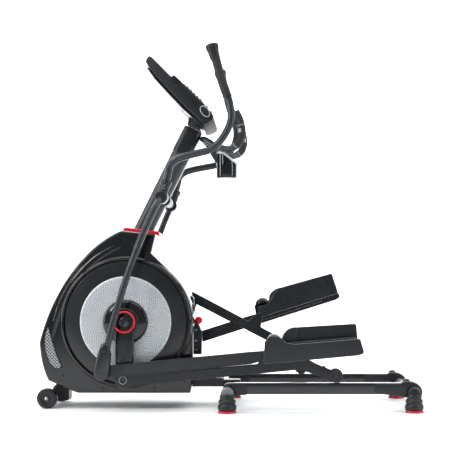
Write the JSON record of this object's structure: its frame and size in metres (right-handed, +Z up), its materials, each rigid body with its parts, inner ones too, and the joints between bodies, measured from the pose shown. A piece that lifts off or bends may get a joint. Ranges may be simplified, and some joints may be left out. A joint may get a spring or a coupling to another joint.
{
  "type": "elliptical trainer",
  "caption": "Front-drive elliptical trainer with swing arm handlebars, wheeled pedal legs on two floor rails, a covered crank drive and a mast console.",
  "frame": {"origin": "on the floor, at the centre of the machine's footprint", "axes": "+X towards the rear, where the rider steps on; +Z up; -Y to the rider's left"},
  "size_m": [1.72, 0.716, 1.6249],
  "materials": {
    "gloss_black_plastic": "moulded ABS, high gloss",
    "black_plastic": "moulded, fine texture",
    "grey_plastic": "moulded mesh, silver grey",
    "screen": "clear cover over a liquid crystal display",
    "silver_paint": "metallic silver, dimpled",
    "red_plastic": "moulded red",
    "rubber": "moulded rubber and foam",
    "steel": "turned",
    "grey_painted_steel": "satin charcoal powder coat",
    "black_painted_steel": "satin black powder coat"
  },
  "bodies": {
    "frame": {"main_beam": "black_painted_steel", "front_stabilizer": "black_painted_steel", "middle_stabilizer": "black_painted_steel", "rear_stabilizer": "black_painted_steel", "rail_left": "black_painted_steel", "rail_right": "black_painted_steel", "foot_middle_left": "rubber", "foot_middle_right": "rubber", "foot_rear_left": "rubber", "foot_rear_right": "rubber", "mast": "grey_painted_steel", "frame_upright": "black_painted_steel", "pivot_shaft": "steel", "crank_housing": "black_painted_steel", "crank_bearing_left": "steel", "crank_bearing_right": "steel", "flywheel_axle": "steel", "drive_belt": "rubber", "shroud_left": "gloss_black_plastic", "shroud_right": "gloss_black_plastic", "neck_collar": "red_plastic", "vent_left": "grey_plastic", "vent_right": "grey_plastic", "power_inlet": "gloss_black_plastic", "console_housing": "gloss_black_plastic", "console_screen": "screen", "console_keypad": "black_plastic", "console_bracket": "black_painted_steel", "fixed_handlebar": "grey_painted_steel", "cup_holder": "gloss_black_plastic"},
    "crank": {"crankshaft": "steel", "crank_pulley": "black_plastic", "crank_disc_left": "black_plastic", "dimpled_ring_left": "silver_paint", "hub_cap_left": "gloss_black_plastic", "crank_arm_left": "black_painted_steel", "red_ring_left": "red_plastic", "crank_disc_right": "black_plastic", "dimpled_ring_right": "silver_paint", "hub_cap_right": "gloss_black_plastic", "crank_arm_right": "black_painted_steel", "red_ring_right": "red_plastic"},
    "flywheel": {"flywheel": "steel"},
    "knob": {"pull_knob": "red_plastic"},
    "wheel_left": {"wheel_left": "rubber"},
    "arm_left": {"swing_arm_left": "black_painted_steel", "handlebar_left": "grey_painted_steel", "grip_left": "rubber"},
    "foot_left": {"foot_arm_left": "black_painted_steel", "pedal_left": "black_plastic"},
    "leg_left": {"pedal_leg_left": "black_painted_steel"},
    "roller_left": {"roller_left": "rubber"},
    "wheel_right": {"wheel_right": "rubber"},
    "arm_right": {"swing_arm_right": "black_painted_steel", "handlebar_right": "grey_painted_steel", "grip_right": "rubber"},
    "foot_right": {"foot_arm_right": "black_painted_steel", "pedal_right": "black_plastic"},
    "leg_right": {"pedal_leg_right": "black_painted_steel"},
    "roller_right": {"roller_right": "rubber"}
  },
  "joints": [
    {"name": "crank_turn", "type": "hinge", "parent": "frame", "child": "crank", "pos_m": [-0.456, 0, 0.391], "axis": [0, 1, 0], "continuous": true},
    {"name": "flywheel_turn", "type": "hinge", "parent": "frame", "child": "flywheel", "pos_m": [-0.682, 0.08, 0.3], "axis": [0, 1, 0], "continuous": true},
    {"name": "knob_pull", "type": "slide", "parent": "frame", "child": "knob", "axis": [0, -1, 0], "range_m": [0, 0.012], "stiffness_N_per_m": 300},
    {"name": "left_arm_swing", "type": "hinge", "parent": "frame", "child": "arm_left", "pos_m": [-0.294, -0.2, 0.947], "axis": [0, 1, 0], "range_deg": [-18, 18]},
    {"name": "right_arm_swing", "type": "hinge", "parent": "frame", "child": "arm_right", "pos_m": [-0.294, 0.2, 0.947], "axis": [0, 1, 0], "range_deg": [-18, 18]},
    {"name": "left_foot_arm_pivot", "type": "hinge", "parent": "arm_left", "child": "foot_left", "pos_m": [-0.5396, -0.2815, 0.17408], "axis": [0, 1, 0], "range_deg": [-12, 12]},
    {"name": "left_leg_travel", "type": "slide", "parent": "frame", "child": "leg_left", "axis": [1, 0, 0], "range_m": [-0.245, 0.245]},
    {"name": "left_roller_spin", "type": "hinge", "parent": "leg_left", "child": "roller_left", "pos_m": [0.47682, -0.249, 0.1554], "axis": [0, 1, 0], "range_deg": [-500, 500]},
    {"name": "left_wheel_spin", "type": "hinge", "parent": "frame", "child": "wheel_left", "pos_m": [-0.814, -0.148, 0.046], "axis": [0, 1, 0], "continuous": true},
    {"name": "right_foot_arm_pivot", "type": "hinge", "parent": "arm_right", "child": "foot_right", "pos_m": [-0.55105, 0.2815, 0.17782], "axis": [0, 1, 0], "range_deg": [-12, 12]},
    {"name": "right_leg_travel", "type": "slide", "parent": "frame", "child": "leg_right", "axis": [1, 0, 0], "range_m": [-0.245, 0.245]},
    {"name": "right_roller_spin", "type": "hinge", "parent": "leg_right", "child": "roller_right", "pos_m": [0.33822, 0.249, 0.1554], "axis": [0, 1, 0], "range_deg": [-500, 500]},
    {"name": "right_wheel_spin", "type": "hinge", "parent": "frame", "child": "wheel_right", "pos_m": [-0.814, 0.148, 0.046], "axis": [0, 1, 0], "continuous": true}
  ],
  "couplings": [
    {"joint": "flywheel_turn", "follows": "crank_turn", "ratio": 6.5652},
    {"joint": "right_arm_swing", "follows": "left_arm_swing", "ratio": -1},
    {"joint": "left_foot_arm_pivot", "follows": "left_arm_swing", "ratio": -0.66},
    {"joint": "right_foot_arm_pivot", "follows": "left_arm_swing", "ratio": 0.66},
    {"joint": "left_leg_travel", "follows": "left_arm_swing", "m_per_rad": -0.774},
    {"joint": "right_leg_travel", "follows": "left_arm_swing", "m_per_rad": 0.774},
    {"joint": "left_roller_spin", "follows": "left_arm_swing", "ratio": -26.69},
    {"joint": "right_roller_spin", "follows": "left_arm_swing", "ratio": 26.69}
  ]
}
